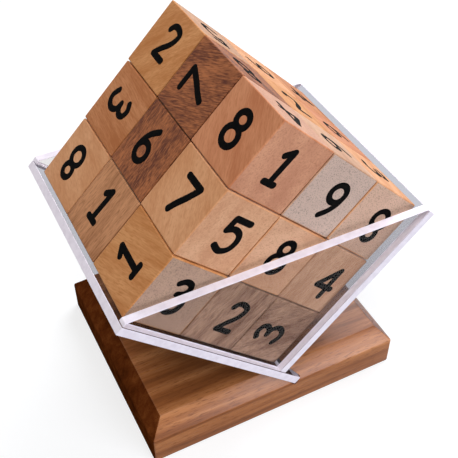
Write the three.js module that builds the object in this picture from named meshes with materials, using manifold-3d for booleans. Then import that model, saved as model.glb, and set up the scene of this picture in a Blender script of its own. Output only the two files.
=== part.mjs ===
// Three-dimensional sudoku: 27 loose wooden cubes lying edge down in a clear tray on a wooden base.
// Millimetres, +Z up. The origin is the middle of the base's underside, and -Y is the front.
import * as THREE from "three";
import { mergeVertices } from "three/addons/utils/BufferGeometryUtils.js";
import Module from "manifold-3d";

// Driving dimensions: cubes
const CUBE_EDGE = 25;
const CUBE_ARRIS = 0.5; // chamfer sanded along every edge
const CUBE_GAP = 0.3; // seam between neighbours
const LAYER_STEP = 0.4; // each layer lies this much nearer the front than the layer above it

// Driving dimensions: tray of flat acrylic sheets
const SHEET_THICKNESS = 3;
const SEAT_GAP = 0.3; // between the stack and the panels that it lies on
const GLUE_GAP = 0.3; // glue line between sheets
const END_PLAY = 2.7; // free length between the stack and each end wall
const PANEL_RISE = 2.1; // floor and side panels past the stack, at their free edges
const RIM_RISE = 1.65; // end walls' rim past those edges, measured along either panel
const TONGUE_LENGTH = 9.8; // floor panel past the side panel, glued into the base
const TRAY_TILT = THREE.MathUtils.degToRad(45);

// Driving dimensions: base
const BASE_WIDTH = 100;
const BASE_DEPTH = 84;
const BASE_LIP = 12; // height of the upright edge
const BEVEL_RISE = 6;
const BEVEL_INSET = 5.3;
const BASE_CORNER_RADIUS = 1;
const BASE_TOP_CORNER_RADIUS = 0.6;
const BASE_CORNER_STEPS = 4;
const SLOT_CLEARANCE = 0.3; // round the tongue, in the base's sloping slot

// The stack's layers from the floor up, its rows from the front, its columns from the side panel
const LAYERS = ["lower", "middle", "upper"];
const ROWS = ["front", "centre", "rear"];
const COLUMNS = ["right", "mid", "left"];

// Sizes that follow from those
const CUBE_PITCH = CUBE_EDGE + CUBE_GAP;
const STACK = LAYERS.length * CUBE_PITCH - CUBE_GAP;
const INNER_LENGTH = STACK + 2 * END_PLAY;
const TRAY_LENGTH = INNER_LENGTH + 2 * SHEET_THICKNESS;
const PANEL_REACH = SEAT_GAP + STACK + PANEL_RISE;
const BASE_HEIGHT = BASE_LIP + BEVEL_RISE;

const wasm = await Module();
wasm.setup();

// Materials
const paleWood = new THREE.MeshStandardMaterial({ color: 0xc99662, roughness: 0.55, metalness: 0 });
const darkWood = new THREE.MeshStandardMaterial({ color: 0x7d4b2a, roughness: 0.5, metalness: 0 });
const acrylic = new THREE.MeshStandardMaterial({
  color: 0xeef0f4, roughness: 0.08, metalness: 0, transparent: true, opacity: 0.35,
});

function mesh(name, geometry, material) {
  const made = new THREE.Mesh(geometry, material);
  made.name = name;
  return made;
}

// A closed geometry as a solid that can be cut
function solidOf(geometry) {
  const bare = geometry.clone();
  bare.deleteAttribute("normal");
  bare.deleteAttribute("uv");
  const merged = mergeVertices(bare);
  return new wasm.Manifold(new wasm.Mesh({
    numProp: 3,
    vertProperties: new Float32Array(merged.attributes.position.array),
    triVerts: new Uint32Array(merged.index.array),
  }));
}

function geometryOf(solid) {
  const cut = solid.getMesh();
  const geometry = new THREE.BufferGeometry();
  geometry.setAttribute("position", new THREE.BufferAttribute(cut.vertProperties, 3));
  geometry.setIndex(new THREE.BufferAttribute(cut.triVerts, 1));
  geometry.computeVertexNormals();
  return geometry;
}

// A rectangle centred on the origin, with its corners rounded in steps, counter-clockwise
function roundedRectangle(width, depth, radius) {
  const points = [];
  const corners = [[1, 1], [-1, 1], [-1, -1], [1, -1]];
  corners.forEach(([sideX, sideY], quarter) => {
    for (let step = 0; step <= BASE_CORNER_STEPS; step += 1) {
      const angle = (quarter + step / BASE_CORNER_STEPS) * Math.PI / 2;
      points.push(new THREE.Vector2(
        sideX * (width / 2 - radius) + radius * Math.cos(angle),
        sideY * (depth / 2 - radius) + radius * Math.sin(angle),
      ));
    }
  });
  return points;
}

// A convex block through outlines with the same number of points, from the lowest to the highest
function stackedOutlines(levels) {
  const count = levels[0].outline.length;
  const positions = levels.flatMap(({ z, outline }) => outline.flatMap((p) => [p.x, p.y, z]));
  const index = [];
  for (let level = 0; level + 1 < levels.length; level += 1) {
    for (let i = 0; i < count; i += 1) {
      const low = level * count + i;
      const next = level * count + (i + 1) % count;
      index.push(low, next, next + count, low, next + count, low + count);
    }
  }
  const top = (levels.length - 1) * count;
  for (let i = 1; i + 1 < count; i += 1) {
    index.push(0, i + 1, i);
    index.push(top, top + i, top + i + 1);
  }
  const geometry = new THREE.BufferGeometry();
  geometry.setAttribute("position", new THREE.Float32BufferAttribute(positions, 3));
  geometry.setIndex(index);
  geometry.computeVertexNormals();
  return geometry;
}

// The tray's own frame: the floor panel's upper face is z = 0 and the side panel's inner face is
// x = 0. Tilting it stands the stack on edge, with the floor's underside meeting the base's top
// along the base's middle line.
function placeTilted(object) {
  object.rotation.y = TRAY_TILT;
  const underside = new THREE.Vector3(SHEET_THICKNESS, 0, -SHEET_THICKNESS).applyEuler(object.rotation);
  object.position.set(-underside.x, 0, BASE_HEIGHT - underside.z);
  return object;
}

// A box between two corners
function boxBetween(low, high) {
  const size = high.clone().sub(low);
  const geometry = new THREE.BoxGeometry(size.x, size.y, size.z);
  const middle = low.clone().add(high).divideScalar(2);
  return geometry.translate(middle.x, middle.y, middle.z);
}

// Base: an upright lip, a bevel all round the top and a sloping saw slot for the tray's tongue.
// Its front is flush with the tray's.
function baseBlock() {
  const lip = roundedRectangle(BASE_WIDTH, BASE_DEPTH, BASE_CORNER_RADIUS);
  const top = roundedRectangle(
    BASE_WIDTH - 2 * BEVEL_INSET, BASE_DEPTH - 2 * BEVEL_INSET, BASE_TOP_CORNER_RADIUS,
  );
  const block = stackedOutlines([
    { z: 0, outline: lip }, { z: BASE_LIP, outline: lip }, { z: BASE_HEIGHT, outline: top },
  ]);
  block.translate(0, (BASE_DEPTH - TRAY_LENGTH) / 2, 0);
  const slot = boxBetween(
    new THREE.Vector3(-SHEET_THICKNESS, -TRAY_LENGTH, -SHEET_THICKNESS - SLOT_CLEARANCE),
    new THREE.Vector3(SHEET_THICKNESS + TONGUE_LENGTH + SLOT_CLEARANCE, BASE_DEPTH, SLOT_CLEARANCE),
  );
  const tilted = placeTilted(new THREE.Object3D());
  tilted.updateMatrix();
  slot.applyMatrix4(tilted.matrix);
  return mesh("base_block", geometryOf(solidOf(block).subtract(solidOf(slot))), darkWood);
}

// Floor panel: carries the stack, and its tongue goes down into the base
function floorPanel() {
  return mesh("tray_floor_panel", boxBetween(
    new THREE.Vector3(-PANEL_REACH, -TRAY_LENGTH / 2, -SHEET_THICKNESS),
    new THREE.Vector3(SHEET_THICKNESS + TONGUE_LENGTH, TRAY_LENGTH / 2, 0),
  ), acrylic);
}

// Side panel: square to the floor panel and glued on top of it
function sidePanel() {
  return mesh("tray_side_panel", boxBetween(
    new THREE.Vector3(0, -TRAY_LENGTH / 2, GLUE_GAP),
    new THREE.Vector3(SHEET_THICKNESS, TRAY_LENGTH / 2, PANEL_REACH),
  ), acrylic);
}

// End wall: a right-angled triangle in the corner of the two panels, its rim level once tilted,
// with its two thin tips trimmed flush with the panels' free edges
function endWall(name, innerFace, outward) {
  const outline = new THREE.Shape([
    new THREE.Vector2(-GLUE_GAP, GLUE_GAP),
    new THREE.Vector2(-GLUE_GAP, PANEL_REACH),
    new THREE.Vector2(-RIM_RISE, PANEL_REACH),
    new THREE.Vector2(-PANEL_REACH, RIM_RISE),
    new THREE.Vector2(-PANEL_REACH, GLUE_GAP),
  ]);
  const geometry = new THREE.ExtrudeGeometry(outline, { depth: SHEET_THICKNESS, bevelEnabled: false });
  geometry.rotateX(Math.PI / 2);
  const nearFace = outward < 0 ? innerFace : innerFace + SHEET_THICKNESS;
  return mesh(name, geometry.translate(0, nearFace, 0), acrylic);
}

// Cube: a square block with every edge sanded to a small flat
function cubeGeometry() {
  const half = CUBE_EDGE / 2;
  const flat = half - CUBE_ARRIS;
  const outline = new THREE.Shape([
    new THREE.Vector2(half, -flat), new THREE.Vector2(half, flat),
    new THREE.Vector2(flat, half), new THREE.Vector2(-flat, half),
    new THREE.Vector2(-half, flat), new THREE.Vector2(-half, -flat),
    new THREE.Vector2(-flat, -half), new THREE.Vector2(flat, -half),
  ]);
  const geometry = new THREE.ExtrudeGeometry(outline, {
    depth: CUBE_EDGE - 2 * CUBE_ARRIS,
    bevelThickness: CUBE_ARRIS,
    bevelSize: CUBE_ARRIS,
    bevelOffset: -CUBE_ARRIS,
    bevelSegments: 1,
  });
  return geometry.translate(0, 0, CUBE_ARRIS - half);
}

function cubes() {
  const geometry = cubeGeometry();
  const first = SEAT_GAP + CUBE_EDGE / 2;
  const middleRow = (ROWS.length - 1) / 2;
  const made = [];
  LAYERS.forEach((layer, up) => ROWS.forEach((row, back) => COLUMNS.forEach((column, out) => {
    const cube = mesh(`cube_${layer}_${row}_${column}`, geometry, paleWood);
    const nearer = (LAYERS.length - 1 - up) * LAYER_STEP;
    cube.position.set(
      -first - out * CUBE_PITCH, (back - middleRow) * CUBE_PITCH - nearer, first + up * CUBE_PITCH,
    );
    made.push(cube);
  })));
  return made;
}

const tray = placeTilted(new THREE.Group());
tray.add(
  floorPanel(),
  sidePanel(),
  endWall("tray_front_wall", -INNER_LENGTH / 2, -1),
  endWall("tray_rear_wall", INNER_LENGTH / 2, 1),
  ...cubes(),
);

const sudoku = new THREE.Group();
sudoku.add(baseBlock(), tray);

export default sudoku;
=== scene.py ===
# %% [markdown]
# # A three-dimensional sudoku
# Twenty-seven loose wooden cubes, each with a digit painted on every face, lie edge down in a clear
# acrylic tray. The tray's tongue is let into a bevelled wooden base. The measured solids come in first,
# as a fixed frame: every size below is read from them, so that nothing has to be fitted by eye.

# %% Load the measured solids
import math
import random

import bpy
from mathutils import Matrix, Vector


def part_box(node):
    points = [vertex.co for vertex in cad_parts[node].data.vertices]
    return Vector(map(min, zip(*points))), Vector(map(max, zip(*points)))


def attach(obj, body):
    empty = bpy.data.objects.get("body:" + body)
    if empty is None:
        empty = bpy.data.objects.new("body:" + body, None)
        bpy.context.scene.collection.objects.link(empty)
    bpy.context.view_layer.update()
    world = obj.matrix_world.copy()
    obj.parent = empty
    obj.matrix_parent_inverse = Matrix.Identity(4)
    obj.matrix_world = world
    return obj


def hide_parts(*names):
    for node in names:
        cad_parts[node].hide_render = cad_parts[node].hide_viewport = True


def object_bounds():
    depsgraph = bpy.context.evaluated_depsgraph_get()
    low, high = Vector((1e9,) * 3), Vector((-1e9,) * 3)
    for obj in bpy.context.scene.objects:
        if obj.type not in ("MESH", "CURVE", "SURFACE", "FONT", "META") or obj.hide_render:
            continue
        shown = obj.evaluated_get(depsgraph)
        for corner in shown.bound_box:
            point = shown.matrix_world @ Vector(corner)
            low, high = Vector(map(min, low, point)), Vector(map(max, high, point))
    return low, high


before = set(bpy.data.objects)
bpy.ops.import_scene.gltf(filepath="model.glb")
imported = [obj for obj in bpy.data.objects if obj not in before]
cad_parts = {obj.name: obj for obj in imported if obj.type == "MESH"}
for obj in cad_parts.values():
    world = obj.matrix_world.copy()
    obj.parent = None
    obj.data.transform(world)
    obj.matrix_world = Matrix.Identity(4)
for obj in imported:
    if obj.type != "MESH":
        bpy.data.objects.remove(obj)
cad_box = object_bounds()
MM = 0.001
print("solids:", len(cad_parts), "box in mm:", [round(v / MM, 1) for v in cad_box[1] - cad_box[0]])

# %% [markdown]
# ## Camera
# The picture was taken from above and a little to the left of the front, close up, with a slightly long
# lens. A camera is added where the picture's vanishing lines put it, aimed at the middle of the stack.
# The focal length is known in pixels of a square picture, and the sensor's width turns it into a lens.

# %% Camera
PICTURE_SIDE_PX = 458
FOCAL_LENGTH_PX = 823.4
SENSOR_WIDTH_MM = 36
CAMERA_AIM = Vector((-0.65, -4.6, 60.4)) * MM
CAMERA_DISTANCE = 293.6 * MM
CAMERA_TURN = math.radians(26.7)
CAMERA_DIP = math.radians(43.73)
CAMERA_ROLL = math.radians(-0.23)

level_reach = math.cos(CAMERA_DIP)
backwards = Vector((
    -math.sin(CAMERA_TURN) * level_reach,
    -math.cos(CAMERA_TURN) * level_reach,
    math.sin(CAMERA_DIP),
))
bpy.ops.object.camera_add(
    location=CAMERA_AIM + backwards * CAMERA_DISTANCE,
    rotation=(math.pi / 2 - CAMERA_DIP, 0, -CAMERA_TURN),
)
camera = bpy.context.object
camera.rotation_euler.rotate_axis("Z", CAMERA_ROLL)
camera.data.sensor_width = SENSOR_WIDTH_MM
camera.data.lens = FOCAL_LENGTH_PX * SENSOR_WIDTH_MM / PICTURE_SIDE_PX
bpy.context.scene.camera = camera
print("lens in mm:", round(camera.data.lens, 1))

# %% [markdown]
# ## Tools for materials
# Colours are written as sRGB hex values, as a paint chart gives them, and shaders want linear numbers,
# so one function converts them. Another adds a node, sets it up and links it, which keeps each finish
# down to a list of what it is made of.

# %% Tools for materials
def linear(hex_colour):
    """An sRGB hex colour as linear red, green, blue and alpha."""
    parts = [int(hex_colour[i:i + 2], 16) / 255 for i in (1, 3, 5)]
    return tuple(p / 12.92 if p <= 0.04045 else ((p + 0.055) / 1.055) ** 2.4 for p in parts) + (1.0,)


def node(tree, kind, inputs=None, stops=None, **settings):
    """Adds a node, sets its properties and ramp, and fills its sockets with values or other outputs."""
    made = tree.nodes.new(kind)
    for name, value in settings.items():
        setattr(made, name, value)
    for place, (position, colour) in enumerate(stops or []):
        ramp = made.color_ramp.elements
        stop = ramp[place] if place < len(ramp) else ramp.new(position)
        stop.position = position
        stop.color = colour
    for socket, value in (inputs or {}).items():
        if isinstance(value, bpy.types.NodeSocket):
            tree.links.new(value, made.inputs[socket])
        else:
            made.inputs[socket].default_value = value
    return made


def empty_material(name):
    """A material with nothing in it yet, and its node tree."""
    material = bpy.data.materials.new(name)
    material.use_nodes = True
    material.node_tree.nodes.clear()
    return material, material.node_tree


print("black is", linear("#000000"), "and white is", linear("#ffffff"))

# %% [markdown]
# ## Floor, background and light
# The object stands on plain white, with a soft shadow. The floor and the world look white to the camera,
# and to rays that come through the clear tray, while they throw back no more light than a table would.
# One large lamp stands for a window at the back right, which brightens the stack's upper right side and
# the base's right half. Two soft ones stand for the ceiling, which lights the left side, and for the room
# in front, a little bluer. The world itself gives little light, so that it stays dark under the stack.

# %% Floor, background and light
FLOOR_SIDE = 3.0
FLOOR_DROP = 0.1 * MM  # keeps the floor out of the plane of the base's underside
FLOOR_GLOW = 0.62
FLOOR_FADE = (0.15, 0.45)  # the shadow's paper runs into the plain backdrop between these radii, in metres
FLOOR_PAPER = "#b4b4b4"
FLOOR_TABLE = "#7d7873"
ROOM_LIGHT = 0.16
WHITE = (1, 1, 1, 1)


def seen_directly(tree):
    """1 for rays from the camera, off gloss or through clear plastic, and 0 once a ray is scattered."""
    path = node(tree, "ShaderNodeLightPath")
    glossy = node(tree, "ShaderNodeMath", {
        0: path.outputs["Is Camera Ray"], 1: path.outputs["Is Glossy Ray"],
    }, operation="MAXIMUM")
    direct = node(tree, "ShaderNodeMath", {
        0: glossy.outputs[0], 1: path.outputs["Is Transmission Ray"],
    }, operation="MAXIMUM")
    return node(tree, "ShaderNodeMath", {
        0: direct.outputs[0], 1: path.outputs["Diffuse Depth"],
    }, operation="SUBTRACT", use_clamp=True).outputs[0]


world = bpy.data.worlds.new("white_room")
world.use_nodes = True
world.node_tree.nodes.clear()
backdrop = node(world.node_tree, "ShaderNodeMixShader", {
    0: seen_directly(world.node_tree),
    1: node(world.node_tree, "ShaderNodeBackground", {"Color": WHITE, "Strength": ROOM_LIGHT}).outputs[0],
    2: node(world.node_tree, "ShaderNodeBackground", {"Color": WHITE, "Strength": 1.0}).outputs[0],
})
node(world.node_tree, "ShaderNodeOutputWorld", {"Surface": backdrop.outputs[0]})
bpy.context.scene.world = world
bpy.context.scene.view_settings.view_transform = "Standard"

floor_finish, tree = empty_material("white_paper")
lit_paper = node(tree, "ShaderNodeAddShader", {
    0: node(tree, "ShaderNodeBsdfDiffuse", {"Color": linear(FLOOR_PAPER)}).outputs[0],
    1: node(tree, "ShaderNodeEmission", {"Color": WHITE, "Strength": FLOOR_GLOW}).outputs[0],
})
from_middle = node(tree, "ShaderNodeVectorMath", {
    0: node(tree, "ShaderNodeTexCoord").outputs["Object"],
}, operation="LENGTH")
fade = node(tree, "ShaderNodeMapRange", {
    "Value": from_middle.outputs["Value"], "From Min": FLOOR_FADE[0], "From Max": FLOOR_FADE[1],
})
seamless_paper = node(tree, "ShaderNodeMixShader", {
    0: fade.outputs[0], 1: lit_paper.outputs[0],
    2: node(tree, "ShaderNodeEmission", {"Color": WHITE, "Strength": 1.0}).outputs[0],
})
table = node(tree, "ShaderNodeBsdfDiffuse", {"Color": linear(FLOOR_TABLE)})
floor_mix = node(tree, "ShaderNodeMixShader", {
    0: seen_directly(tree), 1: table.outputs[0], 2: seamless_paper.outputs[0],
})
node(tree, "ShaderNodeOutputMaterial", {"Surface": floor_mix.outputs[0]})

bpy.ops.object.select_all(action="DESELECT")
bpy.ops.mesh.primitive_plane_add(size=FLOOR_SIDE, location=(0, 0, -FLOOR_DROP))
floor = bpy.context.object
floor.name = "floor"
floor.data.materials.append(floor_finish)

# Name, colour, where it stands as seen from the object, how far off, how wide, how tall, and how bright
# a white card gets
LAMPS = [
    ("window", "#f6f9ff", Vector((0.62, 0.42, 0.66)), 0.9, 0.7, 0.5, 0.75),
    ("ceiling", "#ffffff", Vector((-0.25, -0.24, 0.93)), 1.2, 0.6, 0.6, 0.535),
    ("room", "#ecf3ff", Vector((0.42, -0.87, 0.26)), 1.2, 0.8, 0.6, 0.72),
]
object_middle = (cad_box[0] + cad_box[1]) / 2
for name, colour, towards, distance, width, height, brightness in LAMPS:
    place = object_middle + towards.normalized() * distance
    facing = (object_middle - place).to_track_quat("-Z", "Y").to_euler()
    bpy.ops.object.light_add(type="AREA", location=place, rotation=facing)
    lamp = bpy.context.object
    lamp.name = name
    lamp.data.color = linear(colour)[:3]
    lamp.data.shape = "RECTANGLE"
    lamp.data.size = width
    lamp.data.size_y = height
    lamp.data.energy = brightness * math.pi ** 2 * distance ** 2
    print(name, "lamp:", round(lamp.data.energy, 1), "W")

# %% [markdown]
# ## The tray's own frame
# The tray and the stack are tilted by half a right angle. It is easier to model them flat and tilt them
# afterwards, so this matrix takes the tray's own frame to its place: its origin is the inner corner
# between the floor panel and the side panel, X runs out through the side panel, Y away from the front
# and Z up from the floor panel.

# %% The tray's own frame
TRAY_TILT = math.radians(45)
base_low, base_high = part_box("base_block")
front_low, front_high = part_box("tray_front_wall")
SHEET = front_high.y - front_low.y
tray_place = Matrix.Translation((0, 0, base_high.z + math.sqrt(2) * SHEET))
tray_place = tray_place @ Matrix.Rotation(TRAY_TILT, 4, "Y")


def tray_points(node_name):
    """A solid's corners, in the tray's own frame."""
    to_tray = tray_place.inverted()
    return [to_tray @ v.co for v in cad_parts[node_name].data.vertices]


def tray_box(node_name):
    """A solid's lowest and highest corner, in the tray's own frame."""
    points = tray_points(node_name)
    return Vector(map(min, *points)), Vector(map(max, *points))


floor_low, floor_high = tray_box("tray_floor_panel")
print("floor panel in mm:", [round(v / MM, 2) for v in floor_high - floor_low])

# %% [markdown]
# ## Modelling by hand, in code
# These helpers do what a hand does at the desk: add a block at its size, pick faces or edges by where they
# are, set a finished piece in its place and hang it on the body that it moves with.

# %% Modelling helpers
FLAT_FACE = 0.99  # least part of a direction in a face's normal, where the face is square to it


def add_block(name, low, high):
    """A box between two corners, with its place in its mesh."""
    bpy.ops.object.select_all(action="DESELECT")
    bpy.ops.mesh.primitive_cube_add(size=1, location=(low + high) / 2, scale=high - low)
    made = bpy.context.object
    made.name = name
    bpy.ops.object.transform_apply(location=True, rotation=True, scale=True)
    return made


def choose(piece):
    """Makes this the one selected, active piece."""
    bpy.ops.object.select_all(action="DESELECT")
    piece.select_set(True)
    bpy.context.view_layer.objects.active = piece


def edit(piece, kind, wanted):
    """Opens a piece in edit mode, with the faces or edges that pass the test selected."""
    choose(piece)
    bpy.ops.object.mode_set(mode="EDIT")
    bpy.ops.mesh.select_mode(type=kind)
    bpy.ops.mesh.select_all(action="DESELECT")
    bpy.ops.object.mode_set(mode="OBJECT")
    parts = piece.data.polygons if kind == "FACE" else piece.data.edges
    for part in parts:
        part.select = wanted(part)
    bpy.ops.object.mode_set(mode="EDIT")


def done():
    """Leaves edit mode."""
    bpy.ops.object.mode_set(mode="OBJECT")


def apply_modifier(piece, kind, **settings):
    """Adds a modifier, sets it and applies it."""
    choose(piece)
    modifier = piece.modifiers.new(kind.lower(), kind)
    for name, value in settings.items():
        setattr(modifier, name, value)
    bpy.ops.object.modifier_apply(modifier=modifier.name)


def set_down(piece, matrix):
    """Moves a piece to its place and writes the place into its mesh."""
    piece.matrix_world = matrix @ piece.matrix_world
    choose(piece)
    bpy.ops.object.transform_apply(location=True, rotation=True, scale=True)


def belongs(piece, body, slot, *nodes):
    """A finished piece rides on a body and stands for its solids, which it hides. Its slot is not used."""
    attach(piece, body)
    if nodes:
        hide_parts(*nodes)


TRAY_BODY = "tray_on_base"

# %% [markdown]
# ## Base wood
# The base is oiled rain tree, a brown hardwood with open pores, planed along the grain and bevelled with
# a router. To the eye that gives long soft streaks along the width, short dark pore lines and a satin
# sheen, and on the left and right edges dark, speckled end grain. Noise stretched along X draws the
# streaks and a finer one the pores. One recipe makes four finishes. The top and the bevels at front and
# rear are polished, and the lip is only sanded. The end grain is darker, partly because it soaks up more
# oil and partly as painted shade for the shade that falls on the left end under the stack's overhang. It
# is dull but for the right-hand bevel, which took a polish.

# %% Base wood
STREAK_WIDTH_MM = 4.5
STREAK_LENGTH_MM = 90
PORE_WIDTH_MM = 0.5  # really about 0.2 mm, which would not show
PORE_LENGTH_MM = 4


def oiled_wood(name, dark, middle, light, gloss):
    """Oiled wood with its grain along X, in three tones from its streaks."""
    material, tree = empty_material(name)
    where = node(tree, "ShaderNodeTexCoord")
    layers = {}
    for layer, width, length, detail in (
        ("streaks", STREAK_WIDTH_MM, STREAK_LENGTH_MM, 5.0),
        ("pores", PORE_WIDTH_MM, PORE_LENGTH_MM, 2.0),
    ):
        stretched = node(tree, "ShaderNodeMapping", {
            "Vector": where.outputs["Object"],
            "Scale": (1 / (length * MM), 1 / (width * MM), 1 / (width * MM)),
        })
        layers[layer] = node(tree, "ShaderNodeTexNoise", {
            "Vector": stretched.outputs[0], "Scale": 1.0, "Detail": detail, "Roughness": 0.6,
            "Distortion": 0.3,
        }).outputs["Fac"]
    plain = node(tree, "ShaderNodeValToRGB", {"Fac": layers["streaks"]}, stops=[
        (0.28, linear(dark)), (0.48, linear(middle)), (0.68, linear(light)),
    ])
    pore_mask = node(tree, "ShaderNodeMapRange", {
        "Value": layers["pores"], "From Min": 0.46, "From Max": 0.30, "To Min": 0.0, "To Max": 0.6,
    })
    colour = node(tree, "ShaderNodeMix", {
        0: pore_mask.outputs[0], 6: plain.outputs["Color"], 7: linear(dark),
    }, data_type="RGBA")
    roughness = node(tree, "ShaderNodeMapRange", {
        "Value": layers["streaks"], "From Min": 0.3, "From Max": 0.7, "To Min": 0.32, "To Max": 0.25,
    })
    bump = node(tree, "ShaderNodeBump", {
        "Height": layers["pores"], "Strength": 0.35, "Distance": 0.12 * MM,
    })
    shader = node(tree, "ShaderNodeBsdfPrincipled", {
        "Base Color": colour.outputs[2], "Roughness": roughness.outputs[0], "IOR": 1.5,
        "Specular IOR Level": gloss, "Normal": bump.outputs[0],
    })
    node(tree, "ShaderNodeOutputMaterial", {"Surface": shader.outputs[0]})
    print("finish:", material.name, len(tree.nodes), "nodes")
    return material


SIDE_GRAIN = ("#67371a", "#9a5b30", "#c07e4e")
# End-grain colours: darker partly because end grain soaks up more oil, and partly as painted shade for the
# shade on the left end under the stack
END_GRAIN_AND_SHADE = ("#4a210b", "#683213", "#82451f")
POLISHED, SANDED, DULL_SHADED_END, POLISHED_END = range(4)
base_finishes = [
    oiled_wood("oiled_polished_rain_tree", *SIDE_GRAIN, gloss=0.28),
    oiled_wood("oiled_sanded_rain_tree", *SIDE_GRAIN, gloss=0.12),
    oiled_wood("oiled_dull_end_grain_and_shade", *END_GRAIN_AND_SHADE, gloss=0.0),
    oiled_wood("oiled_polished_end_grain", *END_GRAIN_AND_SHADE, gloss=0.42),
]

# %% [markdown]
# ## Base
# The base is a board with an upright lip and a bevel all round its top. A block as high as the lip has its
# top face extruded up by the bevel's rise and drawn in by its inset. The four upright corners are barely
# rounded, a small bevel sands the arrises, and a tilted block cuts the saw slot for the tray's tongue.

# %% Base
SANDED_ARRIS = 0.3 * MM
ARRIS_STEPS = 2
CORNER_RADIUS = 1.0 * MM
CORNER_STEPS = 4
SHARP_EDGE = math.radians(24)  # flatter edges, as between a corner's steps, aren't sanded
SMOOTH_EDGE = math.radians(22)
SLOT_CLEARANCE = 0.3 * MM
HAIR = 0.01 * MM
LEANING = 0.3  # least part of an axis in the normal of a face that counts as facing it

base_corners = [v.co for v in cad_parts["base_block"].data.vertices]
lip_top = max(p.z for p in base_corners if p.x > base_high.x - HAIR)
ridge_x = max(p.x for p in base_corners if p.z > base_high.z - HAIR)
bevel_inset = base_high.x - ridge_x
base_middle = (base_low + base_high) / 2
base_size = base_high - base_low

base = add_block("base", base_low, Vector((base_high.x, base_high.y, lip_top)))
edit(base, "FACE", lambda face: face.normal.z > FLAT_FACE)
bpy.ops.mesh.extrude_region_move(TRANSFORM_OT_translate={"value": (0, 0, base_high.z - lip_top)})
bpy.ops.transform.resize(
    value=(1 - 2 * bevel_inset / base_size.x, 1 - 2 * bevel_inset / base_size.y, 1),
    center_override=(base_middle.x, base_middle.y, base_high.z),
)
done()


def upright(edge):
    """True for the lip's upright corner edges."""
    ends = [base.data.vertices[v].co for v in edge.vertices]
    return (ends[0] - ends[1]).xy.length < HAIR


edit(base, "EDGE", upright)
bpy.ops.mesh.bevel(offset=CORNER_RADIUS, segments=CORNER_STEPS, affect="EDGES")
done()
apply_modifier(base, "BEVEL", width=SANDED_ARRIS, segments=ARRIS_STEPS, limit_method="ANGLE",
               angle_limit=SHARP_EDGE)

slot_cutter = add_block(
    "slot_cutter",
    Vector((-SHEET, floor_low.y - SHEET, -SHEET - SLOT_CLEARANCE)),
    Vector((floor_high.x + SLOT_CLEARANCE, floor_high.y + SHEET, SLOT_CLEARANCE)),
)
set_down(slot_cutter, tray_place)
apply_modifier(base, "BOOLEAN", operation="DIFFERENCE", object=slot_cutter, solver="EXACT")
bpy.data.objects.remove(slot_cutter)
choose(base)
bpy.ops.object.shade_smooth_by_angle(angle=SMOOTH_EDGE)
for finish in base_finishes:
    base.data.materials.append(finish)
for face in base.data.polygons:
    upward = face.normal.z > LEANING
    if abs(face.normal.x) > max(abs(face.normal.y), LEANING):
        face.material_index = POLISHED_END if upward and face.normal.x > 0 else DULL_SHADED_END
    else:
        face.material_index = POLISHED if upward else SANDED
belongs(base, TRAY_BODY, "base_wood", "base_block")
print("base faces:", len(base.data.polygons))

# %% [markdown]
# ## Acrylic
# The tray is cast acrylic sheet. Its faces are polished and clear, and its sawn edges are frosted, so that
# they gather light and look milky white. The end walls are almost colourless. The floor and side panels
# are greyer, which is painted shade: it stands for the dark room seen through their margins. Clear plastic
# is a Principled shader with full transmission. It would stop the lamps' light on its way to the wood, so
# that light passes straight through, with a shade of its own. The edge is a pale surface with faint saw
# marks, and a little light of its own, which stands for the light that the sheet gathers and lets out there.

# %% Acrylic
ACRYLIC_IOR = 1.1  # really 1.49, at which the white room's reflection would veil the wood behind
WALL_TINT = "#e1dfde"  # white, as seen through the end walls
WALL_SHADE = "#e1dfde"  # lamplight through them
# Greyer than the end walls as painted shade, standing for the dark room seen through the panels' margins
PANEL_PAINTED_SHADE = "#babbc2"  # white, as seen through the floor and side panels
PANEL_SHADE = "#f2f2f2"  # lamplight through them
EDGE_COLOUR = "#e6dee8"
EDGE_SHADE = "#dbd2dd"
EDGE_GLOW = 0.18
SAW_MARK_MM = 2.5


def polished_acrylic(name, tint, shade):
    """Clear plastic that lets the lamps' light through to the wood."""
    material, tree = empty_material(name)
    plastic = node(tree, "ShaderNodeBsdfPrincipled", {
        "Base Color": linear(tint), "Roughness": 0.02, "IOR": ACRYLIC_IOR, "Transmission Weight": 1.0,
    })
    lamp_ray = node(tree, "ShaderNodeLightPath")
    let_through = node(tree, "ShaderNodeBsdfTransparent", {"Color": linear(shade)})
    clear = node(tree, "ShaderNodeMixShader", {
        0: lamp_ray.outputs["Is Shadow Ray"], 1: plastic.outputs[0], 2: let_through.outputs[0],
    })
    node(tree, "ShaderNodeOutputMaterial", {"Surface": clear.outputs[0]})
    return material


wall_face = polished_acrylic("polished_wall_acrylic", WALL_TINT, WALL_SHADE)
panel_face = polished_acrylic("polished_panel_acrylic", PANEL_PAINTED_SHADE, PANEL_SHADE)

frosted_edge, tree = empty_material("sawn_acrylic_edge")
where = node(tree, "ShaderNodeTexCoord")
saw_marks = node(tree, "ShaderNodeTexNoise", {
    "Vector": where.outputs["Object"], "Scale": 1 / (SAW_MARK_MM * MM), "Detail": 2.0,
})
edge_colour = node(tree, "ShaderNodeValToRGB", {"Fac": saw_marks.outputs["Fac"]}, stops=[
    (0.35, linear(EDGE_SHADE)), (0.6, linear(EDGE_COLOUR)),
])
edge_bump = node(tree, "ShaderNodeBump", {
    "Height": saw_marks.outputs["Fac"], "Strength": 0.2, "Distance": 0.05 * MM,
})
edge_shader = node(tree, "ShaderNodeBsdfPrincipled", {
    "Base Color": edge_colour.outputs["Color"], "Roughness": 0.32, "Normal": edge_bump.outputs[0],
    "Emission Color": linear(EDGE_COLOUR), "Emission Strength": EDGE_GLOW,
})
node(tree, "ShaderNodeOutputMaterial", {"Surface": edge_shader.outputs[0]})
print("finishes:", wall_face.name, panel_face.name, frosted_edge.name)

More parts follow.
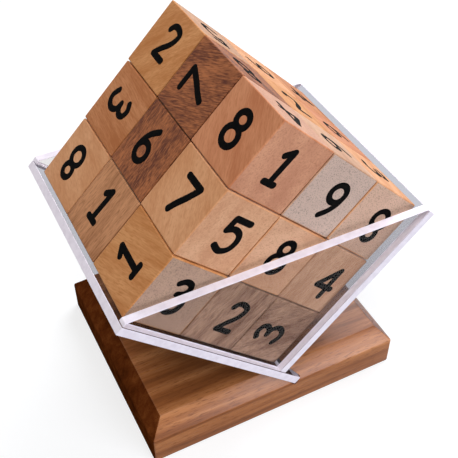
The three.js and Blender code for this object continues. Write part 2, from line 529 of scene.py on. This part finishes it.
# %% [markdown]
# ## Tray
# Each sheet is a block at its solid's size. The end walls are cut along their rim with a bisecting plane,
# which leaves their two trimmed tips. Every edge gets a hairline chamfer, as a scraper leaves it, which
# catches the light, and the two large faces get the clear finish and all the rest the sawn one.

# %% Tray
SCRAPED_EDGE = 0.18 * MM


def finish_sheet(piece, across, clear_face, node_name):
    """Chamfers a flat sheet, gives it its two finishes and sets it in the tray."""
    edit(piece, "EDGE", lambda edge: True)
    bpy.ops.mesh.bevel(offset=SCRAPED_EDGE, segments=2, affect="EDGES")
    done()
    piece.data.materials.append(clear_face)
    piece.data.materials.append(frosted_edge)
    for face in piece.data.polygons:
        face.material_index = 0 if abs(face.normal.dot(across)) > FLAT_FACE else 1
    set_down(piece, tray_place)
    belongs(piece, TRAY_BODY, "clear_acrylic", node_name)
    print(piece.name, "faces:", len(piece.data.polygons))


floor_panel = add_block("floor_panel", floor_low, floor_high)
finish_sheet(floor_panel, Vector((0, 0, 1)), panel_face, "tray_floor_panel")

side_panel = add_block("side_panel", *tray_box("tray_side_panel"))
finish_sheet(side_panel, Vector((1, 0, 0)), panel_face, "tray_side_panel")

for end in ("front", "rear"):
    wall_node = "tray_" + end + "_wall"
    rim_corner = max(tray_points(wall_node), key=lambda p: p.z - p.x)
    end_wall = add_block(end + "_wall", *tray_box(wall_node))
    edit(end_wall, "FACE", lambda face: True)
    bpy.ops.mesh.bisect(plane_co=rim_corner, plane_no=(-1, 0, 1), use_fill=True, clear_outer=True)
    done()
    finish_sheet(end_wall, Vector((0, 1, 0)), wall_face, wall_node)

# %% [markdown]
# ## Cube wood
# The cubes are offcuts of the same tree: pale honey sapwood, tan and rosy wood, and brown heartwood,
# sawn, sanded and waxed. Each cube was cut from another place and lies another way round, so its grain
# can't follow the object's axes. The cube's mesh carries its own grain coordinates instead, in
# millimetres with the grain along Z, and a mark on the faces that cut the grain across. One recipe makes
# every kind of wood, from a light and a dark colour, a greyer one for the faces cut across, where pores
# show as dark dots, and a figure, which says how much of the tone is drift, long bands or fine fibres.

# %% Cube wood
RING_SPACING_MM = 9.0
DRIFT_MM = 14
BAND_WIDTH_MM = 3.0
BAND_LENGTH_MM = 60
FIBRE_WIDTH_MM = 0.5
FIBRE_LENGTH_MM = 7
FLECK_WIDTH_MM = 0.45  # pores, drawn about twice as wide as they are
FLECK_LENGTH_MM = 3.0
WAVE_PERIOD = 2 * math.pi / 20  # a wave texture's period at scale 1
RING_WEIGHT = 0.08
CUT_ACROSS_SHARE = 0.8
WAX_SHEEN = 0.25
END_PORE_SHADE = 0.36  # pores on a face cut across, against the wood round them

# Weights of the drift, the bands and the fibres in a wood's tone
PLAIN_FIGURE = (0.30, 0.35, 0.35)
FINE_FIGURE = (0.15, 0.20, 0.65)

# Light and dark colour along the grain, colour across it, and figure
CUBE_WOODS = {
    "honey": ("#dd9e68", "#bf7a43", "#b09b8e", PLAIN_FIGURE),
    "tan": ("#d29062", "#b06a3c", "#bfa393", PLAIN_FIGURE),
    "rose": ("#da956c", "#c0774f", "#ccb09f", PLAIN_FIGURE),
    "pale": ("#e7ac7f", "#d08e5f", "#d2b8a8", PLAIN_FIGURE),
    "brown": ("#b67046", "#57291a", "#8f6e5c", FINE_FIGURE),
    "fawn": ("#d8ab8b", "#b58668", "#d3bbae", PLAIN_FIGURE),
    "umber": ("#bc967d", "#76513e", "#957e70", PLAIN_FIGURE),
    "streaked": ("#d4976c", "#96603b", "#b69a88", PLAIN_FIGURE),
}


def cube_wood(name, light, dark, cut_across, figure):
    """Sanded and waxed wood between two colours, on a cube's own grain coordinates."""
    drift_weight, band_weight, fibre_weight = figure
    material, tree = empty_material("waxed_" + name + "_wood")
    grain = node(tree, "ShaderNodeAttribute", attribute_name="grain")
    layers = {}
    for layer, width, length, detail in (
        ("drift", DRIFT_MM, DRIFT_MM * 2, 1.0),
        ("bands", BAND_WIDTH_MM, BAND_LENGTH_MM, 2.0),
        ("fibres", FIBRE_WIDTH_MM, FIBRE_LENGTH_MM, 3.0),
        ("flecks", FLECK_WIDTH_MM, FLECK_LENGTH_MM, 1.0),
    ):
        stretched = node(tree, "ShaderNodeMapping", {
            "Vector": grain.outputs["Vector"], "Scale": (1 / width, 1 / width, 1 / length),
        })
        layers[layer] = node(tree, "ShaderNodeTexNoise", {
            "Vector": stretched.outputs[0], "Scale": 1.0, "Detail": detail, "Roughness": 0.6,
        }).outputs["Fac"]
    rings = node(tree, "ShaderNodeTexWave", {
        "Vector": grain.outputs["Vector"], "Scale": WAVE_PERIOD / RING_SPACING_MM, "Distortion": 4.0,
        "Detail": 2.0, "Detail Scale": 0.6,
    }, wave_type="RINGS", rings_direction="Z")
    ring_part = node(tree, "ShaderNodeMath", {
        0: rings.outputs["Fac"], 1: RING_WEIGHT, 2: -RING_WEIGHT / 2,
    }, operation="MULTIPLY_ADD")
    drift_part = node(tree, "ShaderNodeMath", {
        0: layers["drift"], 1: drift_weight, 2: ring_part.outputs[0],
    }, operation="MULTIPLY_ADD")
    band_part = node(tree, "ShaderNodeMath", {
        0: layers["bands"], 1: band_weight, 2: drift_part.outputs[0],
    }, operation="MULTIPLY_ADD")
    tone = node(tree, "ShaderNodeMath", {
        0: layers["fibres"], 1: fibre_weight, 2: band_part.outputs[0],
    }, operation="MULTIPLY_ADD")
    plain = node(tree, "ShaderNodeValToRGB", {"Fac": tone.outputs[0]}, stops=[
        (0.40, linear(light)), (0.62, linear(dark)),
    ])
    across = node(tree, "ShaderNodeAttribute", attribute_name="end_grain")
    end_share = node(tree, "ShaderNodeMath", {
        0: across.outputs["Fac"], 1: CUT_ACROSS_SHARE,
    }, operation="MULTIPLY")
    greyed = node(tree, "ShaderNodeMix", {
        0: end_share.outputs[0], 6: plain.outputs["Color"], 7: linear(cut_across),
    }, data_type="RGBA")
    red, green, blue, opaque = linear(cut_across)
    end_pore = (red * END_PORE_SHADE, green * END_PORE_SHADE, blue * END_PORE_SHADE, opaque)
    pore = node(tree, "ShaderNodeMix", {
        0: across.outputs["Fac"], 6: linear(dark), 7: end_pore,
    }, data_type="RGBA")
    fleck_mask = node(tree, "ShaderNodeMapRange", {
        "Value": layers["flecks"], "From Min": 0.50, "From Max": 0.25, "To Min": 0.0, "To Max": 0.75,
    })
    colour = node(tree, "ShaderNodeMix", {
        0: fleck_mask.outputs[0], 6: greyed.outputs[2], 7: pore.outputs[2],
    }, data_type="RGBA")
    roughness = node(tree, "ShaderNodeMapRange", {
        "Value": layers["fibres"], "From Min": 0.3, "From Max": 0.7, "To Min": 0.62, "To Max": 0.5,
    })
    bump = node(tree, "ShaderNodeBump", {
        "Height": layers["flecks"], "Strength": 0.25, "Distance": 0.06 * MM,
    })
    shader = node(tree, "ShaderNodeBsdfPrincipled", {
        "Base Color": colour.outputs[2], "Roughness": roughness.outputs[0], "IOR": 1.45,
        "Specular IOR Level": WAX_SHEEN, "Normal": bump.outputs[0],
    })
    node(tree, "ShaderNodeOutputMaterial", {"Surface": shader.outputs[0]})
    return material


woods = {name: cube_wood(name, *colours) for name, colours in CUBE_WOODS.items()}
print("woods:", ", ".join(woods))

# %% [markdown]
# ## Digit paint
# The digits are black paint that has dried almost matt. It is never one even black: it is thinner
# where the wood's fibres stand up, which shows as a slightly browner film.

# %% Digit paint
PAINT_BLACK = "#08090a"
PAINT_THIN = "#15110e"
PAINT_MOTTLE_MM = 1.2
PAINT_SHEEN = 0.015

digit_paint, tree = empty_material("black_satin_paint")
where = node(tree, "ShaderNodeTexCoord")
mottle = node(tree, "ShaderNodeTexNoise", {
    "Vector": where.outputs["Object"], "Scale": 1 / (PAINT_MOTTLE_MM * MM), "Detail": 3.0,
})
paint_colour = node(tree, "ShaderNodeValToRGB", {"Fac": mottle.outputs["Fac"]}, stops=[
    (0.45, linear(PAINT_BLACK)), (0.75, linear(PAINT_THIN)),
])
paint_shader = node(tree, "ShaderNodeBsdfPrincipled", {
    "Base Color": paint_colour.outputs["Color"], "Roughness": 0.6, "IOR": 1.5,
    "Specular IOR Level": PAINT_SHEEN,
})
node(tree, "ShaderNodeOutputMaterial", {"Surface": paint_shader.outputs[0]})
print("finish:", digit_paint.name)

# %% [markdown]
# ## Digits
# Each digit is drawn as a hand would draw it with a round brush: a few strokes through a few points, in
# millimetres from the digit's middle, with round ends. A stroke is a curve with a round bevel, whose
# radius closes to nothing along a half circle at each end. The strokes are made mesh, joined into one body
# and pressed flat, so that a thin film of paint stands on the wood.

# %% Digit strokes
STROKE_RADIUS_MM = 1.18
PAINT_HEIGHT_MM = 0.06
CURVE_STEPS = 6
RING_STEPS = 28
CAP_STEPS = 4


def ring(x, y, radius_x, radius_y):
    """A closed oval stroke."""
    angles = [2 * math.pi * step / RING_STEPS for step in range(RING_STEPS)]
    return {"closed": True, "points": [
        Vector((x + radius_x * math.cos(a), y + radius_y * math.sin(a), 0)) for a in angles
    ]}


def line(*points):
    """An open stroke that runs smoothly through its points."""
    given = [Vector((x, y, 0)) for x, y in points]
    if len(given) == 2:
        return {"closed": False, "points": given}
    smooth = []
    for i in range(len(given) - 1):
        before, start, end, after = (given[min(max(k, 0), len(given) - 1)] for k in range(i - 1, i + 3))
        for step in range(CURVE_STEPS):
            t = step / CURVE_STEPS
            smooth.append(0.5 * (
                2 * start + (end - before) * t + (2 * before - 5 * start + 4 * end - after) * t ** 2
                + (3 * start - before - 3 * end + after) * t ** 3
            ))
    return {"closed": False, "points": smooth + [given[-1]]}


STROKES = {
    1: [line((-2.1, 3.6), (0.5, 5.9)), line((0.5, 5.9), (0.1, -5.9)), line((-2.2, -5.9), (2.3, -5.8))],
    2: [line((-3.0, 3.9), (-1.9, 5.5), (0.2, 5.9), (2.7, 4.9), (3.0, 2.9), (1.7, 0.1), (-0.8, -2.7),
             (-2.9, -5.6)),
        line((-2.9, -5.6), (3.2, -5.7))],
    3: [line((-2.8, 4.6), (-0.7, 5.9), (1.8, 5.3), (2.5, 3.4), (1.4, 1.5), (-0.7, 0.8)),
        line((-0.7, 0.8), (1.9, 0.2), (3.2, -2.2), (2.2, -4.9), (-0.3, -5.9), (-3.1, -4.6))],
    4: [line((2.0, 6.0), (-3.9, -1.8)), line((-3.9, -1.8), (4.1, -1.9)), line((2.0, 6.0), (1.8, -6.0))],
    5: [line((3.4, 6.0), (-3.0, 5.9)), line((-3.0, 5.9), (-3.4, 1.3)),
        line((-3.4, 1.3), (-0.7, 2.5), (2.2, 1.6), (3.4, -1.0), (2.6, -4.3), (-0.3, -5.9), (-3.5, -4.6))],
    6: [line((1.6, 6.1), (-1.4, 3.2), (-2.9, -0.3), (-3.2, -2.7)), ring(0.0, -2.7, 3.2, 3.3)],
    7: [line((-3.8, 5.9), (3.8, 5.9)), line((3.8, 5.9), (1.5, 1.2), (-0.8, -2.9), (-2.2, -5.9))],
    8: [ring(0.1, 3.3, 2.7, 2.6), ring(0.0, -2.65, 3.3, 3.3)],
    9: [ring(0.0, 2.7, 3.3, 3.3), line((3.3, 2.7), (2.9, -0.6), (1.4, -3.7), (-0.9, -6.2))],
}


def rounded(stroke):
    """A stroke's points with their share of the brush's radius, closing over each open end."""
    points = stroke["points"]
    if stroke["closed"]:
        return [(p, 1.0) for p in points]
    turns = [math.pi / 2 * step / CAP_STEPS for step in range(1, CAP_STEPS)]
    head = (points[0] - points[1]).normalized() * STROKE_RADIUS_MM
    tail = (points[-1] - points[-2]).normalized() * STROKE_RADIUS_MM
    start = [(points[0] + head * math.sin(t), math.cos(t)) for t in reversed(turns)]
    finish = [(points[-1] + tail * math.sin(t), math.cos(t)) for t in turns]
    return start + [(p, 1.0) for p in points] + finish


def stroke_body(stroke):
    """One stroke as a closed round body, in millimetres."""
    curve = bpy.data.curves.new("stroke", "CURVE")
    curve.dimensions = "3D"
    curve.bevel_depth = STROKE_RADIUS_MM
    curve.bevel_resolution = 2
    curve.use_fill_caps = True
    along = rounded(stroke)
    spline = curve.splines.new("POLY")
    spline.points.add(len(along) - 1)
    spline.use_cyclic_u = stroke["closed"]
    for point, (place, share) in zip(spline.points, along):
        point.co = (*place, 1)
        point.radius = share
    body = bpy.data.objects.new("stroke", curve)
    bpy.context.collection.objects.link(body)
    choose(body)
    bpy.ops.object.convert(target="MESH")
    edit(body, "FACE", lambda face: True)
    bpy.ops.mesh.remove_doubles(threshold=0.001)
    bpy.ops.mesh.select_all(action="SELECT")
    bpy.ops.mesh.normals_make_consistent(inside=False)
    done()
    return body


def painted_digit(value):
    """A digit as one flat film of paint, in metres, facing up Z with its top towards Y."""
    first, *others = [stroke_body(stroke) for stroke in STROKES[value]]
    for other in others:
        apply_modifier(first, "BOOLEAN", operation="UNION", object=other, solver="EXACT")
        bpy.data.objects.remove(other)
    set_down(first, Matrix.Diagonal((MM, MM, MM * PAINT_HEIGHT_MM / STROKE_RADIUS_MM, 1)))
    first.name = "digit_" + str(value)
    return first


digits = {value: painted_digit(value) for value in STROKES}
print("digit faces:", {value: len(made.data.polygons) for value, made in digits.items()})

# %% [markdown]
# ## Cubes
# One cube is modelled with its edges sanded round, and copied for every place in the stack. Each copy gets
# its kind of wood, the way its grain runs, and six digits. The faces that the picture shows have the digits
# that it shows, the same way up. The rest are dealt out by a seeded shuffle, as a player would leave them.

# %% Cubes
CUBE_ROUNDING = 0.45 * MM
SHUFFLE_SEED = 27
SIDES = {
    "left": Vector((-1, 0, 0)), "right": Vector((1, 0, 0)), "front": Vector((0, -1, 0)),
    "rear": Vector((0, 1, 0)), "under": Vector((0, 0, -1)), "top": Vector((0, 0, 1)),
}

# Digit, the side that its top points to, and how far it sits from the face's middle in mm, right and up
SEEN_DIGITS = {
    "upper_rear_left": {"left": (2, "top", -0.2, 1.5)},
    "upper_centre_left": {"left": (7, "rear", -0.8, 0.8)},
    "upper_front_left": {"left": (8, "top", -0.4, 0.3), "front": (1, "top", -1.0, 0.3)},
    "upper_front_mid": {"front": (9, "top", 1.7, -0.5)},
    "upper_front_right": {"front": (8, "under", -2.4, 0.6)},
    "middle_rear_left": {"left": (3, "front", -0.8, -1.0)},
    "middle_centre_left": {"left": (6, "top", -2.2, 0.3)},
    "middle_front_left": {"left": (7, "top", 0.6, 0.1), "front": (5, "top", 1.5, 0.0)},
    "middle_front_mid": {"front": (8, "top", 0.3, 0.4)},
    "middle_front_right": {"front": (4, "top", 3.0, -0.8)},
    "lower_rear_left": {"left": (8, "under", 1.8, 0.3)},
    "lower_centre_left": {"left": (1, "top", -1.2, 0.9)},
    "lower_front_left": {"left": (1, "rear", -0.6, 1.2), "front": (3, "top", 0.2, 0.2)},
    "lower_front_mid": {"front": (2, "top", 1.6, -0.2)},
    "lower_front_right": {"front": (3, "left", -1.4, 2.4)},
}

# Kind of wood, and the way the grain runs in the tray's own frame
SEEN_WOODS = {
    "upper_rear_left": ("honey", (0.2, -0.6, 0.8)),
    "upper_rear_mid": ("pale", (0.9, 0.3, 0.1)),
    "upper_rear_right": ("tan", (0.2, 1.0, 0.1)),
    "upper_centre_left": ("brown", (0.1, -0.9, 0.45)),
    "upper_centre_mid": ("honey", (0.1, 1.0, 0.2)),
    "upper_centre_right": ("rose", (1.0, 0.1, 0.3)),
    "upper_front_left": ("rose", (0.1, 0.64, 0.77)),
    "upper_front_mid": ("fawn", (0.2, 1.0, 0.1)),
    "upper_front_right": ("pale", (0.4, 0.9, 0.15)),
    "middle_rear_left": ("tan", (0.1, 1.0, 0.1)),
    "middle_centre_left": ("brown", (0.2, 0.1, 1.0)),
    "middle_front_left": ("pale", (0.25, 0.62, 0.75)),
    "middle_front_mid": ("pale", (0.7, 0.75, 0.4)),
    "middle_front_right": ("fawn", (0.1, 0.2, 1.0)),
    "lower_rear_left": ("pale", (0.2, 1.0, 0.3)),
    "lower_centre_left": ("streaked", (0.05, 0.0, 1.0)),
    "lower_front_left": ("honey", (0.1, 1.0, -0.35)),
    "lower_front_mid": ("umber", (0.1, 0.1, 1.0)),
    "lower_front_right": ("umber", (0.8, 0.2, 0.6)),
}

shuffle = random.Random(SHUFFLE_SEED)
cube_nodes = sorted(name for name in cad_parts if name.startswith("cube_"))
sample_low, sample_high = tray_box(cube_nodes[0])
cube_half = (sample_high.y - sample_low.y) / 2

pattern_cube = add_block("pattern_cube", Vector((-cube_half,) * 3), Vector((cube_half,) * 3))
edit(pattern_cube, "EDGE", lambda edge: True)
bpy.ops.mesh.bevel(offset=CUBE_ROUNDING, segments=3, affect="EDGES")
done()
choose(pattern_cube)
bpy.ops.object.shade_smooth()
apply_modifier(pattern_cube, "WEIGHTED_NORMAL", keep_sharp=False)


def copy_of(piece, name):
    """A copy with a mesh of its own."""
    made = piece.copy()
    made.data = piece.data.copy()
    made.name = name
    bpy.context.collection.objects.link(made)
    return made


def lay_grain(cube, runs):
    """Writes a cube's grain coordinates, in mm, and marks the faces that cut the grain across."""
    along = Vector(runs).normalized()
    turn = along.rotation_difference(Vector((0, 0, 1)))
    from_heart = Vector((shuffle.uniform(30, 60), shuffle.uniform(-30, 30), shuffle.uniform(0, 500)))
    grain = cube.data.attributes.new("grain", "FLOAT_VECTOR", "POINT")
    for vertex, value in zip(cube.data.vertices, grain.data):
        value.vector = turn @ (vertex.co / MM) + from_heart
    end_grain = cube.data.attributes.new("end_grain", "FLOAT", "FACE")
    for face, value in zip(cube.data.polygons, end_grain.data):
        if max(abs(part) for part in face.normal) > FLAT_FACE:
            value.value = max(0.0, abs(face.normal.dot(along)) * 2 - 1)


def paint_digit(side, value, top, right_mm=0.0, up_mm=0.0):
    """A digit's film of paint on one side of a cube that stands at the origin."""
    out = SIDES[side]
    up = SIDES[top]
    right = up.cross(out)
    middle = out * cube_half + (right * right_mm + up * up_mm) * MM
    place = Matrix((right, up, out)).transposed().to_4x4()
    place.translation = middle
    film = copy_of(digits[value], "film")
    set_down(film, place)
    return film


for node_name in cube_nodes:
    spot = node_name.removeprefix("cube_")
    low, high = tray_box(node_name)
    in_tray = tray_place @ Matrix.Translation((low + high) / 2)
    spare_wood = shuffle.choice(sorted(woods))
    spare_grain = [shuffle.uniform(-0.3, 0.3) for _ in range(3)]
    spare_grain[shuffle.randrange(3)] = 1.0
    wood, runs = SEEN_WOODS.get(spot, (spare_wood, spare_grain))
    cube = copy_of(pattern_cube, "wood_" + spot)
    lay_grain(cube, runs)
    cube.data.materials.append(woods[wood])
    set_down(cube, in_tray)
    belongs(cube, node_name, "cube_wood", node_name)

    films = []
    for side, out in SIDES.items():
        tops = [name for name, way in SIDES.items() if abs(way.dot(out)) < 0.5]
        spare = (shuffle.randint(1, 9), shuffle.choice(tops), shuffle.uniform(-1, 1), shuffle.uniform(-1, 1))
        films.append(paint_digit(side, *SEEN_DIGITS.get(spot, {}).get(side, spare)))
    choose(films[0])
    for film in films:
        film.select_set(True)
    bpy.ops.object.join()
    paint = bpy.context.object
    paint.name = "digits_" + spot
    paint.data.materials.append(digit_paint)
    set_down(paint, in_tray)
    belongs(paint, node_name, "digit_paint")

for pattern in (pattern_cube, *digits.values()):
    bpy.data.objects.remove(pattern)
print("cubes:", len(cube_nodes))
